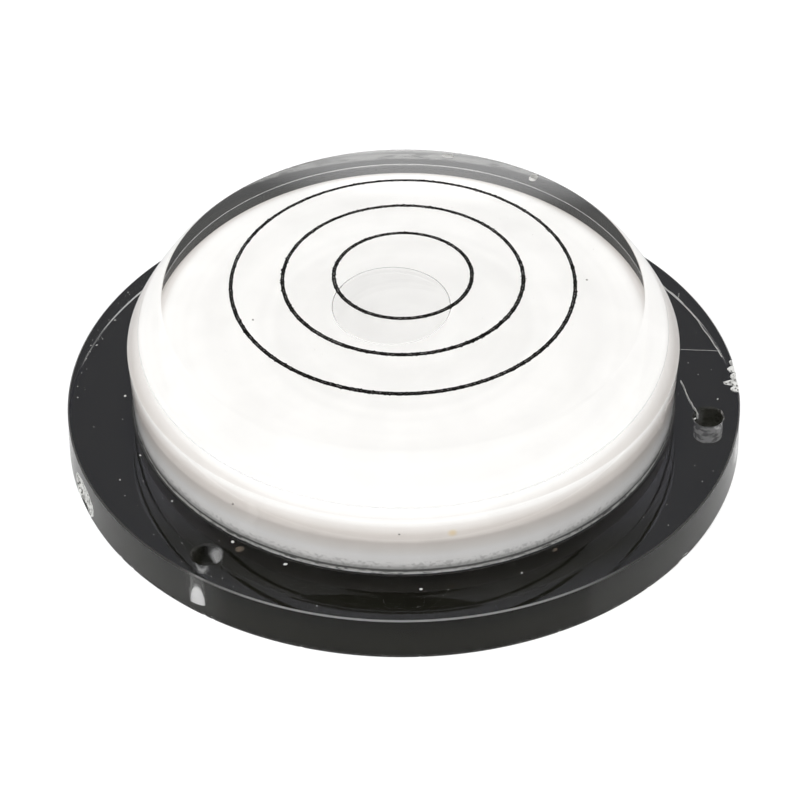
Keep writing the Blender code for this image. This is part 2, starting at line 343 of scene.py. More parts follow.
def ceiling_points(gap):
    """The hollow's ceiling from the axis to its corner, drawn in by a gap all over."""
    corner = CEILING_CORNER_RADIUS
    reach = BORE_RADIUS - CONTACT - corner
    radii = [reach * step / CEILING_STEPS for step in range(CEILING_STEPS)]
    points = [(radius, ceiling_height(radius) - gap) for radius in radii]
    return points + quarter_arc(reach, ceiling_height(reach) - corner, corner - gap, CEILING_STEPS)


def draw_path(points):
    """Starts a new mesh in edit mode: one vertex, drawn on from point to point."""
    bpy.ops.object.select_all(action="DESELECT")
    bpy.ops.mesh.primitive_plane_add(size=0.001, enter_editmode=True, location=(0.0, 0.0, 0.0))
    bpy.ops.mesh.merge(type="CENTER")
    bpy.ops.transform.translate(value=points[0])
    for here, there in zip(points, points[1:]):
        step = tuple(end - start for start, end in zip(here, there))
        bpy.ops.mesh.extrude_vertices_move(TRANSFORM_OT_translate={"value": step})
    bpy.ops.mesh.select_all(action="SELECT")


def turned_piece(name, outline, turns):
    """Spins (radius, height) points round the Z axis; an outline that ends off the axis is closed first."""
    draw_path([(radius, 0.0, height) for radius, height in outline])
    if outline[0][0] > 0.0 or outline[-1][0] > 0.0:
        mesh = bmesh.from_edit_mesh(bpy.context.object.data)
        ends = [vertex for vertex in mesh.verts if len(vertex.link_edges) < 2]
        mesh.edges.new(ends)
        bmesh.update_edit_mesh(bpy.context.object.data)
        bpy.ops.mesh.select_all(action="SELECT")
    bpy.ops.mesh.spin(steps=turns, angle=2.0 * math.pi, center=(0.0, 0.0, 0.0), axis=(0.0, 0.0, 1.0))
    bpy.ops.mesh.select_all(action="SELECT")
    bpy.ops.mesh.remove_doubles(threshold=0.000002)
    bpy.ops.mesh.normals_make_consistent(inside=False)
    bpy.ops.object.mode_set(mode="OBJECT")
    piece = bpy.context.object
    piece.name = name
    piece.data.name = name
    return piece


def make_active(piece):
    bpy.ops.object.select_all(action="DESELECT")
    piece.select_set(True)
    bpy.context.view_layer.objects.active = piece


def join(pieces, name):
    """Several shapes made one, at the origin and unturned, with their places in the mesh."""
    bpy.ops.object.select_all(action="DESELECT")
    for piece in pieces:
        piece.select_set(True)
    bpy.context.view_layer.objects.active = pieces[0]
    bpy.ops.object.join()
    bpy.ops.object.transform_apply(location=True, rotation=True, scale=True)
    pieces[0].name = name
    pieces[0].data.name = name
    return pieces[0]


def cut(piece, cutter, materials):
    """Takes a cutter out of a piece; the fresh faces get the cutter's or the piece's materials."""
    make_active(piece)
    bpy.ops.object.modifier_add(type="BOOLEAN")
    piece.modifiers[-1].object = cutter
    piece.modifiers[-1].solver = "EXACT"
    piece.modifiers[-1].use_self = True
    piece.modifiers[-1].material_mode = materials
    bpy.ops.object.modifier_apply(modifier=piece.modifiers[-1].name)


def smooth_turned_faces(piece):
    """Smooths a piece round its curves and keeps its flat and conical faces straight to their ends."""
    make_active(piece)
    bpy.ops.object.shade_smooth_by_angle(angle=SMOOTH_ANGLE)
    bpy.ops.object.modifier_add(type="WEIGHTED_NORMAL")
    piece.modifiers[-1].keep_sharp = True
    bpy.ops.object.modifier_apply(modifier=piece.modifiers[-1].name)


def own_place(tree):
    """Where on the level a point of the surface is."""
    return tree.nodes.new("ShaderNodeTexCoord").outputs["Object"]


def off_axis(tree, place):
    """How far a place is from the level's axis."""
    x = along(tree, place, "X")
    y = along(tree, place, "Y")
    squares = calculate(tree, "ADD", calculate(tree, "MULTIPLY", x, x), calculate(tree, "MULTIPLY", y, y))
    return calculate(tree, "SQRT", squares)


def distance_from(tree, place, spot):
    """How far a place is from a spot."""
    node = tree.nodes.new("ShaderNodeVectorMath")
    node.operation = "DISTANCE"
    tree.links.new(place, node.inputs[0])
    node.inputs[1].default_value = spot
    return node.outputs["Value"]


def grain(tree, place, scale, detail=3.0):
    """Even random grain, from 0 to 1."""
    node = tree.nodes.new("ShaderNodeTexNoise")
    tree.links.new(place, node.inputs["Vector"])
    node.inputs["Scale"].default_value = scale
    node.inputs["Detail"].default_value = detail
    return node.outputs["Fac"]


def tool_marks(tree, across, fineness):
    """Marks left by a turning tool: they change across its path and run on along it."""
    node = tree.nodes.new("ShaderNodeTexNoise")
    node.noise_dimensions = "1D"
    tree.links.new(across, node.inputs["W"])
    node.inputs["Scale"].default_value = fineness
    node.inputs["Detail"].default_value = 2.0
    return node.outputs["Fac"]


SCRATCH_SIZE = (0.011, 0.00019, 0.005)


def scratches(tree, place, turn, rarity):
    """Fine straight scratches that lean one way: long thin streaks of grain with only the peaks kept."""
    mapping = tree.nodes.new("ShaderNodeMapping")
    mapping.vector_type = "TEXTURE"
    tree.links.new(place, mapping.inputs["Vector"])
    mapping.inputs["Rotation"].default_value = (0.0, 0.0, math.radians(turn))
    mapping.inputs["Scale"].default_value = SCRATCH_SIZE
    return fade(tree, grain(tree, mapping.outputs["Vector"], 1.0, 1.0), rarity, rarity + 0.04)


def relief(tree, shader, height, depth):
    """Raises and lowers the surface by a pattern, to a depth in metres."""
    node = tree.nodes.new("ShaderNodeBump")
    node.inputs["Strength"].default_value = 1.0
    node.inputs["Distance"].default_value = depth
    tree.links.new(height, node.inputs["Height"])
    tree.links.new(node.outputs["Normal"], shader.inputs["Normal"])


def blended(tree, share, first, second):
    """A colour between two others, by a share from 0 to 1."""
    mix = tree.nodes.new("ShaderNodeMix")
    mix.data_type = "RGBA"
    feed(tree, mix.inputs["Factor"], share)
    feed(tree, mix.inputs["A"], first)
    feed(tree, mix.inputs["B"], second)
    return mix.outputs["Result"]


def tinted(tree, shader, share, first, second):
    """Colours the shader between two colours by a share from 0 to 1."""
    tree.links.new(blended(tree, share, first, second), shader.inputs["Base Color"])


def dimmed(tree, colour, share):
    """A colour made darker by a share."""
    node = tree.nodes.new("ShaderNodeVectorMath")
    node.operation = "SCALE"
    tree.links.new(colour, node.inputs[0])
    tree.links.new(share, node.inputs["Scale"])
    return node.outputs["Vector"]


def let_lamps_through(tree, shader):
    """Lets the lamps' light pass the clear piece to what is behind it."""
    path = tree.nodes.new("ShaderNodeLightPath")
    open_way = tree.nodes.new("ShaderNodeBsdfTransparent")
    mix = tree.nodes.new("ShaderNodeMixShader")
    tree.links.new(path.outputs["Is Shadow Ray"], mix.inputs["Fac"])
    tree.links.new(shader.outputs["BSDF"], mix.inputs[1])
    tree.links.new(open_way.outputs["BSDF"], mix.inputs[2])
    tree.links.new(mix.outputs["Shader"], tree.nodes["Material Output"].inputs["Surface"])


def clear_material(name, ior, roughness):
    material, tree, shader = new_material(name)
    shader.inputs["Base Color"].default_value = (1.0, 1.0, 1.0, 1.0)
    shader.inputs["Roughness"].default_value = roughness
    shader.inputs["Transmission Weight"].default_value = 1.0
    shader.inputs["IOR"].default_value = ior
    let_lamps_through(tree, shader)
    return material, tree, shader


# Polished acrylic: a few hair scratches, and the last faint traces of the turning tool
HAIR_ROUGHNESS = 0.10
polished_acrylic, tree, shader = clear_material("polished_acrylic", ACRYLIC_IOR, 0.0)
place = own_place(tree)
hairs = calculate(tree, "MAXIMUM", scratches(tree, place, 24.0, 0.70), scratches(tree, place, -52.0, 0.72))
tree.links.new(calculate(tree, "MULTIPLY", hairs, HAIR_ROUGHNESS), shader.inputs["Roughness"])
relief(tree, shader, tool_marks(tree, off_axis(tree, place), 400.0), 0.0000010)

# The flange's acrylic: painted shade dims its reflection at the front until it hardly mirrors, above
# all near the wall, out to a curve that slants across the flange on each side. Its flat top has a
# painted blue reflection.
SHADED_FRONT = (-0.046, -0.020)
SHADE_EDGE_FADE = (0.0530, 0.0592)
SHADE_LEAN = 0.29
SHADE_LIMIT = (0.0445, 0.0456)
TOP_BAND = (FLANGE_THICKNESS - 0.0004, FLANGE_THICKNESS - 0.0001)
PLAIN_REFLECTION = (1.0, 1.0, 1.0)
# Painted reflection: a blue tint, stronger than plain, on what the flat top mirrors
PAINTED_BLUE_REFLECTION = (1.12, 1.14, 1.40)
flange_acrylic, tree, shader = clear_material("flange_acrylic", ACRYLIC_IOR, 0.0)
place = own_place(tree)
y = along(tree, place, "Y")
radius = off_axis(tree, place)
# Painted shade on the reflection: dimmed at the front, full again past the slanting curve and towards the
# rim
toward_front = fade(tree, y, *SHADED_FRONT, 0.04, 0.95)
toward_edge = fade(tree, radius, *SHADE_EDGE_FADE, 0.0, 0.50)
slanted = calculate(tree, "ADD", radius, calculate(tree, "MULTIPLY", y, SHADE_LEAN))
past_shade = fade(tree, slanted, *SHADE_LIMIT)
unshaded_share = calculate(tree, "MAXIMUM", calculate(tree, "MAXIMUM", toward_front, toward_edge), past_shade)
on_top = fade(tree, along(tree, place, "Z"), *TOP_BAND)
reflection = blended(tree, on_top, PLAIN_REFLECTION, PAINTED_BLUE_REFLECTION)
tree.links.new(dimmed(tree, reflection, unshaded_share), shader.inputs["Specular Tint"])
relief(tree, shader, tool_marks(tree, radius, 500.0), 0.0000008)

# Acrylic wetted by the spirit bends the light less, and its turned surface vanishes under the liquid.
# The boring tool left a fine white line where the hollow's corner runs into the bore.
CORNER_HEIGHT = ceiling_height(BORE_RADIUS - CONTACT - CEILING_CORNER_RADIUS) - CEILING_CORNER_RADIUS
CORNER_LINE = (0.00008, 0.00018)
wetted_acrylic, tree, shader = clear_material("acrylic_wetted_by_spirit", ACRYLIC_IOR / SPIRIT_IOR, 0.0)
place = own_place(tree)
from_corner = calculate(
    tree, "ABSOLUTE", calculate(tree, "SUBTRACT", along(tree, place, "Z"), CORNER_HEIGHT)
)
tree.links.new(fade(tree, from_corner, *CORNER_LINE, 0.35, 1.0), shader.inputs["Transmission Weight"])
relief(tree, shader, tool_marks(tree, off_axis(tree, place), 700.0), 0.000001)

# Drilled acrylic: dull, with the drill's rings in it. The right hole is scuffed white in its front
# half, the left one on its right side.
RIGHT_HOLE_FRONT = (-0.0062, -0.0072)
LEFT_HOLE_SCUFF = (-0.0319, -0.0413, 0.0062)
SCUFF_REACH = (0.0028, 0.0012)
drilled_acrylic, tree, shader = clear_material("drilled_acrylic", ACRYLIC_IOR, 0.16)
place = own_place(tree)
tree.links.new(fade(tree, grain(tree, place, 900.0), 0.3, 0.7, 0.10, 0.26), shader.inputs["Roughness"])
in_front = fade(tree, along(tree, place, "Y"), *RIGHT_HOLE_FRONT)
front_half = calculate(tree, "MULTIPLY", in_front, fade(tree, along(tree, place, "X"), 0.0, 0.01))
streaks = fade(tree, grain(tree, place, 700.0, 4.0), 0.40, 0.60, 0.35, 1.0)
right_side = fade(tree, distance_from(tree, place, LEFT_HOLE_SCUFF), *SCUFF_REACH)
scuffed = calculate(tree, "MAXIMUM", calculate(tree, "MULTIPLY", front_half, streaks), right_side)
tree.links.new(fade(tree, scuffed, 0.0, 1.0, 1.0, 0.72), shader.inputs["Transmission Weight"])
relief(tree, shader, tool_marks(tree, along(tree, place, "Z"), 1500.0), 0.000012)

# Broken acrylic: white where the break scatters the light, with dirt in its hollows
broken_acrylic, tree, shader = clear_material("broken_acrylic", ACRYLIC_IOR, 0.35)
place = own_place(tree)
dirt = fade(tree, grain(tree, place, 1900.0, 5.0), 0.56, 0.62)
tinted(tree, shader, dirt, (0.72, 0.72, 0.70), (0.06, 0.06, 0.055))
clearness = fade(tree, grain(tree, place, 800.0), 0.5, 0.65, 0.0, 0.6)
tree.links.new(clearness, shader.inputs["Transmission Weight"])
relief(tree, shader, grain(tree, place, 1400.0, 4.0), 0.00025)

# The flange's upper edge: rubbed to a pale line, most of all at the front
RUBBED_FRONT = (-0.057, -0.044)
rubbed_edge, tree, shader = clear_material("rubbed_acrylic_edge", ACRYLIC_IOR, 0.30)
place = own_place(tree)
tinted(tree, shader, grain(tree, place, 1200.0), (0.42, 0.42, 0.41), (0.66, 0.66, 0.65))
clearness = fade(tree, along(tree, place, "Y"), *RUBBED_FRONT, 0.70, 0.97)
tree.links.new(clearness, shader.inputs["Transmission Weight"])
relief(tree, shader, grain(tree, place, 2500.0), 0.00002)

body = turned_piece(
    "clear_body",
    flange_points() + shoulder_points() + dome_points() + ceiling_points(0.0),
    TURNS,
)
body_materials = [polished_acrylic, wetted_acrylic, flange_acrylic, rubbed_edge]
for material in body_materials:
    body.data.materials.append(material)
for face in body.data.polygons:
    radius = math.hypot(face.center.x, face.center.y)
    if radius < BORE_RADIUS and face.center.z < ceiling_height(radius) + CONTACT:
        face.material_index = body_materials.index(wetted_acrylic)
    elif radius > FLANGE_RADIUS - FLANGE_EDGE_BREAK and face.normal.z > 0.5:
        face.material_index = body_materials.index(rubbed_edge)
    elif radius > WALL_FOOT_RADIUS + WALL_FOOT_BLEND and face.center.z < FLANGE_THICKNESS + CONTACT:
        face.material_index = body_materials.index(flange_acrylic)

drill_points = [
    (0.0, -DRILL_OVERSHOOT),
    (HOLE_RADIUS, -DRILL_OVERSHOOT),
    (HOLE_RADIUS, FLANGE_THICKNESS - HOLE_EDGE_BREAK),
    (HOLE_RADIUS + HOLE_EDGE_BREAK + DRILL_OVERSHOOT, FLANGE_THICKNESS + DRILL_OVERSHOOT),
    (0.0, FLANGE_THICKNESS + DRILL_OVERSHOOT),
]
tools = []
for azimuth in HOLE_AZIMUTHS:
    drill = turned_piece("drill", drill_points, HOLE_TURNS)
    drill.data.materials.append(drilled_acrylic)
    bpy.ops.transform.translate(value=on_circle(HOLE_CIRCLE_RADIUS, azimuth, 0.0))
    tools.append(drill)
chips = list(CHIPS)
for azimuth, half_length in NICKS:
    chips.append((azimuth, NICK_MIDDLE, NICK_DEPTH, half_length, NICK_HALF_HEIGHT))
for number, (azimuth, height, depth, half_length, half_height) in enumerate(chips):
    bpy.ops.object.select_all(action="DESELECT")
    bpy.ops.mesh.primitive_ico_sphere_add(
        subdivisions=4 if half_length > LARGE_CHIP else 2,
        radius=1.0,
        location=on_circle(FLANGE_RADIUS, azimuth, height),
        rotation=(0.0, 0.0, math.radians(azimuth)),
        scale=(depth, half_length, half_height),
    )
    scoop = bpy.context.object
    scoop.data.materials.append(broken_acrylic)
    bpy.ops.object.mode_set(mode="EDIT")
    bpy.ops.transform.vertex_random(
        offset=CHIP_ROUGHNESS * depth, uniform=1.0, normal=0.0, seed=number + 1
    )
    bpy.ops.object.mode_set(mode="OBJECT")
    tools.append(scoop)
drills_and_scoops = join(tools, "drills_and_scoops")
cut(body, drills_and_scoops, "TRANSFER")
smooth_turned_faces(body)
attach(body, "root")
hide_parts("body")

# The backing film: black, bonded to the whole underside of the flange and pierced for the screws.
# Seen through the acrylic it turns the clear flange black. Painted shade makes its bonded side darker
# towards the bore. Its own underside is rubbed.
FILM_DARK = (0.0016, 0.0016, 0.0012)
FILM_PALE = (0.0119, 0.0117, 0.0085)
PAINTED_SHADE_BY_BORE = (0.0443, 0.0530)
film = turned_piece(
    "backing_film",
    [
        (BORE_RADIUS - 2 * CONTACT, 0.0),
        (FLANGE_RADIUS - FLANGE_EDGE_BREAK, 0.0),
        (FLANGE_RADIUS - FLANGE_EDGE_BREAK, BACKING_THICKNESS + CONTACT),
        (BORE_RADIUS - 2 * CONTACT, BACKING_THICKNESS + CONTACT),
    ],
    TURNS,
)
bonded_film, tree, shader = new_material("bonded_side_of_film")
place = own_place(tree)
# Painted shade: the film is darkest by the bore, under the wall, and paler further out, with its own grain
out_of_painted_shade = fade(tree, off_axis(tree, place), *PAINTED_SHADE_BY_BORE, 0.0, 0.7)
share = calculate(tree, "ADD", out_of_painted_shade, calculate(tree, "MULTIPLY", grain(tree, place, 120.0, 5.0), 0.4))
tinted(tree, shader, share, FILM_DARK, FILM_PALE)
shader.inputs["Roughness"].default_value = 0.45
shader.inputs["Specular IOR Level"].default_value = 0.0
film.data.materials.append(bonded_film)

rubbed_film, tree, shader = new_material("rubbed_side_of_film")
place = own_place(tree)
rubs = calculate(tree, "MAXIMUM", scratches(tree, place, 35.0, 0.63), scratches(tree, place, -70.0, 0.65))
tinted(tree, shader, rubs, (0.014, 0.014, 0.013), (0.075, 0.075, 0.072))
tree.links.new(fade(tree, grain(tree, place, 300.0, 5.0), 0.35, 0.7, 0.35, 0.6), shader.inputs["Roughness"])
relief(tree, shader, grain(tree, place, 900.0, 3.0), 0.00001)
film.data.materials.append(rubbed_film)
for face in film.data.polygons:
    outer_side = math.hypot(face.center.x, face.center.y) > FLANGE_RADIUS - 2 * FLANGE_EDGE_BREAK
    if face.center.z < CONTACT or outer_side and face.center.z < BACKING_THICKNESS:
        face.material_index = 1
cut(film, drills_and_scoops, "INDEX")
bpy.data.objects.remove(drills_and_scoops)
smooth_turned_faces(film)
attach(film, "root")
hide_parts("backing_film")

# The base disc: black acrylic, glued into the bore from below, flush with the film. Pale sealant was
# smeared between it and the bore, and shows through the wall as an uneven grey band, with a faint
# line along the disc's upper edge.
BASE_DISC_THICKNESS = 0.0073
BASE_DISC_EDGE_BREAK = 0.0004
SMEAR_FOOT = (0.0038, 0.0046)
SMEAR_TOP = (0.0070, 0.0066)
SMEAR_WANDER = 0.0008
UPPER_EDGE = (0.0066, 0.0069)
base = turned_piece(
    "base_disc",
    [
        (0.0, 0.0),
        (BORE_RADIUS - BASE_DISC_EDGE_BREAK, 0.0),
        (BORE_RADIUS, BASE_DISC_EDGE_BREAK),
        (BORE_RADIUS, BASE_DISC_THICKNESS),
        (0.0, BASE_DISC_THICKNESS),
    ],
    TURNS,
)
glued_side, tree, shader = new_material("base_disc_glued_side")
place = own_place(tree)
z = along(tree, place, "Z")
uneven = calculate(tree, "SUBTRACT", grain(tree, place, 160.0), 0.5)
level = calculate(tree, "ADD", z, calculate(tree, "MULTIPLY", uneven, SMEAR_WANDER))
smear = calculate(tree, "MULTIPLY", fade(tree, level, *SMEAR_FOOT), fade(tree, level, *SMEAR_TOP))
thin = fade(tree, grain(tree, place, 600.0, 5.0), 0.36, 0.52, 0.22, 1.0)
upper_line = fade(tree, z, *UPPER_EDGE, 0.0, 0.22)
pale = calculate(tree, "MAXIMUM", calculate(tree, "MULTIPLY", smear, thin), upper_line)
tinted(tree, shader, pale, (0.012, 0.012, 0.012), (0.62, 0.62, 0.60))
shader.inputs["Roughness"].default_value = 0.6
shader.inputs["Specular IOR Level"].default_value = 0.0
base.data.materials.append(glued_side)

satin_black, tree, shader = new_material("satin_black_acrylic")
place = own_place(tree)
rubs = calculate(tree, "MAXIMUM", scratches(tree, place, 12.0, 0.64), scratches(tree, place, 80.0, 0.65))
tinted(tree, shader, rubs, (0.016, 0.016, 0.016), (0.080, 0.080, 0.078))
turning = tool_marks(tree, off_axis(tree, place), 2600.0)
tree.links.new(fade(tree, turning, 0.3, 0.7, 0.28, 0.48), shader.inputs["Roughness"])
relief(tree, shader, turning, 0.00001)
base.data.materials.append(satin_black)
for face in base.data.polygons:
    if face.center.z < BASE_DISC_EDGE_BREAK:
        face.material_index = 1
smooth_turned_faces(base)
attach(base, "root")
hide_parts("base_disc")

# The reflector: an opaque white acrylic disc with a rounded rim, glued in under the liquid. Its top
# shows faint turning rings. Its rim and side carry painted shade and painted light by height, small
# dark specks low on the side, and one yellow spot of glue.
REFLECTOR_TOP = 0.0169
REFLECTOR_RIM_RADIUS = 0.0038
RIM_STEPS = 12
GLUE_SPOT = (0.0078, -0.0423, 0.0152)
GLUE_REACH = (0.0012, 0.0004)
GLUE_COLOUR = (0.72, 0.56, 0.30)
CLEAN_ABOVE = (0.0080, 0.0092)
FILL_HOLE_RADIUS = 0.0025
FILL_HOLE_DEPTH = 0.0105
FILL_HOLE_MIDDLE = on_circle(0.0354, 118.0, 0.0115)

# Painted shade and light on the disc by height: a dark line at its foot, lighter low on the side, grey
# under the rounded rim and pale again on top. The colour ramp gets them at the shares that a fade gives
# those heights.
PAINTED_LIGHT_AND_SHADE_BY_HEIGHT = (
    (0.0075, (0.50, 0.50, 0.49)),
    (0.0081, (0.80, 0.79, 0.78)),
    (0.0088, (0.96, 0.95, 0.94)),
    (0.0102, (0.97, 0.96, 0.95)),
    (0.0116, (0.90, 0.87, 0.84)),
    (0.0131, (0.83, 0.78, 0.74)),
    (0.0150, (0.74, 0.695, 0.655)),
    (0.0162, (0.84, 0.81, 0.78)),
    (0.0169, (0.95, 0.94, 0.92)),
)
rim_arc = quarter_arc(
    BORE_RADIUS - REFLECTOR_RIM_RADIUS,
    REFLECTOR_TOP - REFLECTOR_RIM_RADIUS,
    REFLECTOR_RIM_RADIUS,
    RIM_STEPS,
)
reflector = turned_piece(
    "reflector_disc",
    [(0.0, REFLECTOR_TOP)] + rim_arc + [(BORE_RADIUS, BASE_DISC_THICKNESS), (0.0, BASE_DISC_THICKNESS)],
    TURNS,
)
white_disc, tree, shader = new_material("turned_white_acrylic")
place = own_place(tree)
z = along(tree, place, "Z")
radius = off_axis(tree, place)
# Painted shade and light by height, from the foot of the disc to its top
painted_light_and_shade = tree.nodes.new("ShaderNodeValToRGB")
tree.links.new(fade(tree, z, BASE_DISC_THICKNESS, REFLECTOR_TOP), painted_light_and_shade.inputs["Fac"])
ramp = painted_light_and_shade.color_ramp
for number, (height, colour) in enumerate(PAINTED_LIGHT_AND_SHADE_BY_HEIGHT):
    share = (height - BASE_DISC_THICKNESS) / (REFLECTOR_TOP - BASE_DISC_THICKNESS)
    share = share * share * (3.0 - 2.0 * share)
    stop = ramp.elements[number] if number < 2 else ramp.elements.new(share)
    stop.position = share
    stop.color = (*colour, 1.0)
rings = fade(tree, tool_marks(tree, radius, 170.0), 0.3, 0.7, 0.955, 1.0)
soil = fade(tree, grain(tree, place, 140.0, 4.0), 0.35, 0.65, 0.97, 1.0)
specks = fade(tree, grain(tree, place, 1500.0, 5.0), 0.36, 0.54, 0.78, 1.0)
clean = calculate(tree, "MAXIMUM", specks, fade(tree, z, *CLEAN_ABOVE))
share = calculate(tree, "MULTIPLY", calculate(tree, "MULTIPLY", rings, soil), clean)
glued = fade(tree, distance_from(tree, place, GLUE_SPOT), *GLUE_REACH, 0.0, 0.7)
tinted(tree, shader, glued, dimmed(tree, painted_light_and_shade.outputs["Color"], share), GLUE_COLOUR)
shader.inputs["Roughness"].default_value = 0.35
shader.inputs["Specular IOR Level"].default_value = 0.0
relief(tree, shader, tool_marks(tree, radius, 3000.0), 0.000004)
reflector.data.materials.append(white_disc)
bpy.ops.object.select_all(action="DESELECT")
bpy.ops.mesh.primitive_cylinder_add(
    vertices=48, radius=FILL_HOLE_RADIUS, depth=FILL_HOLE_DEPTH, location=FILL_HOLE_MIDDLE
)
fill_drill = bpy.context.object
cut(reflector, fill_drill, "INDEX")
bpy.data.objects.remove(fill_drill)
smooth_turned_faces(reflector)
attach(reflector, "root")
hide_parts("reflector_disc")

# The filling plug: white moulded plastic, driven into the reflector's filling hole from below. It is
# out of sight under the disc's skin and behind the base disc, and keeps its plain solid.
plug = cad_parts["fill_plug"]
moulded_white, tree, shader = new_material("moulded_white_plastic")
place = own_place(tree)
tinted(tree, shader, grain(tree, place, 700.0), (0.86, 0.85, 0.83), (0.80, 0.79, 0.76))
shader.inputs["Roughness"].default_value = 0.5
relief(tree, shader, grain(tree, place, 3000.0), 0.00001)
plug.material_slots[0].material = moulded_white

# The liquid: clear spirit that fills the hollow, with the air bubble as a hollow in it. The body's
# own wetted faces bend the light between acrylic and spirit, so only the bubble's faces bend it here.
LIQUID_GAP = 0.00002
LIQUID_OVERLAP = 0.0005
NO_BEND_IOR = 1.0
BUBBLE_RADIUS = 0.0102
BUBBLE_DEPTH = 0.0006
BUBBLE_CENTRE = (-0.0020, -0.0013)
BUBBLE_FILM = 0.0001
BUBBLE_TURNS = 128
BUBBLE_EDGE_STEPS = 12
liquid_side = BORE_RADIUS - CONTACT - LIQUID_GAP
liquid_floor = REFLECTOR_TOP - REFLECTOR_RIM_RADIUS - LIQUID_OVERLAP
liquid = turned_piece(
    "liquid",
    ceiling_points(LIQUID_GAP) + [(liquid_side, liquid_floor), (0.0, liquid_floor)],
    TURNS,
)
edge = BUBBLE_DEPTH / 2.0
outline = [(0.0, 0.0)]
for step in range(BUBBLE_EDGE_STEPS + 1):
    turn = math.pi * step / BUBBLE_EDGE_STEPS
    outline.append((BUBBLE_RADIUS - edge + edge * math.sin(turn), edge * math.cos(turn) - edge))
outline.append((0.0, -BUBBLE_DEPTH))
bubble = turned_piece("bubble", outline, BUBBLE_TURNS)
for vertex in bubble.data.vertices:
    vertex.co.x += BUBBLE_CENTRE[0]
    vertex.co.y += BUBBLE_CENTRE[1]
    vertex.co.z += ceiling_height(math.hypot(vertex.co.x, vertex.co.y)) - LIQUID_GAP - BUBBLE_FILM
liquid.data.materials.append(clear_material("spirit_against_acrylic", NO_BEND_IOR, 0.0)[0])
bubble.data.materials.append(clear_material("spirit_round_bubble", SPIRIT_IOR, 0.0)[0])
cut(liquid, bubble, "TRANSFER")
bpy.data.objects.remove(bubble)
smooth_turned_faces(liquid)
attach(liquid, "root")
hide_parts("liquid")

# The lines: black paint wiped into the three grooves of the dome. It crept unevenly past the grooves'
# edges, and wiping left it thin and grey along the middle.
LINE_TURNS = 720
LINE_NAMES = ("inner_line", "middle_line", "outer_line")
PAINT_PROUD = 0.00001
RAGGEDNESS = (0.00008, 0.00010, 0.00008)
MEAN_CREEP = -0.00004
LEAST_CREEP = -0.00002
WORN_MIDDLE = (0.00017, 0.00006)
for name, line_radius, ragged in zip(LINE_NAMES, LINE_RADII, RAGGEDNESS):
    line_paint, tree, shader = new_material("wiped_black_paint_" + name)
    place = own_place(tree)
    aside = calculate(tree, "ABSOLUTE", calculate(tree, "SUBTRACT", off_axis(tree, place), line_radius))
    speckle = fade(tree, grain(tree, place, 2600.0, 4.0), 0.50, 0.62)
    worn = calculate(tree, "MULTIPLY", fade(tree, aside, *WORN_MIDDLE), speckle)
    tinted(tree, shader, worn, (0.005, 0.0045, 0.004), (0.15, 0.145, 0.14))
    shader.inputs["Roughness"].default_value = 0.7
    shader.inputs["Specular IOR Level"].default_value = 0.05
    relief(tree, shader, grain(tree, place, 4000.0, 2.0), 0.00002)
    outer = line_radius + LINE_WIDTH / 2 + CONTACT
    inner = line_radius - LINE_WIDTH / 2 - CONTACT
    line = turned_piece(
        "painted_" + name,
        [
            (outer, dome_height(outer) + PAINT_PROUD),
            (outer, dome_height(outer) - LINE_DEPTH - CONTACT),
            (inner, dome_height(inner) - LINE_DEPTH - CONTACT),
            (inner, dome_height(inner) + PAINT_PROUD),
        ],
        LINE_TURNS,
    )
    dice = random.Random(round(line_radius * 1e4))
    creep = {}
    for side in (-1, 1):
        for turn in range(LINE_TURNS):
            creep[side, turn] = max(LEAST_CREEP, dice.gauss(MEAN_CREEP, ragged))
    for vertex in line.data.vertices:
        radius = math.hypot(vertex.co.x, vertex.co.y)
        side = 1 if radius > line_radius else -1
        turn = round(math.atan2(vertex.co.y, vertex.co.x) * LINE_TURNS / (2.0 * math.pi)) % LINE_TURNS
        wider = 1.0 + side * creep[side, turn] / radius
        vertex.co.x *= wider
        vertex.co.y *= wider
    line.data.materials.append(line_paint)
    make_active(line)
    bpy.ops.object.shade_smooth_by_angle(angle=SMOOTH_ANGLE)
    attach(line, "root")
    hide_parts(name)

# Cracks and deep scratches in the flange: thin upright breaks in the acrylic, beside the right screw
# hole and behind it towards the rim, white where they scatter the light. Each has its path, how far
# its path wanders, its depth and its thickness.
BREAKS = (
    (((0.0497, 0.0038), (0.0511, -0.0018), (0.0523, -0.0058)), 0.00012, 0.0011, 0.00010),
    (((0.0500, 0.0126), (0.0572, 0.0120)), 0.00006, 0.00008, 0.00007),
    (
        ((0.0474, 0.0316), (0.0503, 0.0275), (0.0535, 0.0210), (0.0555, 0.0158), (0.0574, 0.0103)),
        0.00009,
        0.00012,
        0.00014,
    ),
    (((0.0506, 0.0289), (0.0502, 0.0270)), 0.00006, 0.00008, 0.00008),
)
BREAK_PROUD = 0.00001
UNEVEN_STEPS = (0.0, 0.22, 0.41, 0.63, 0.82)


def broken_line(points, wander, dice):
    """A path through the points with uneven steps and turns between them."""
    path = []
    for (x1, y1), (x2, y2) in zip(points, points[1:]):
        for share in UNEVEN_STEPS:
            x = x1 + share * (x2 - x1) + dice.uniform(-wander, wander)
            y = y1 + share * (y2 - y1) + dice.uniform(-wander, wander)
            path.append((x, y))
    path.append(points[-1])
    return path


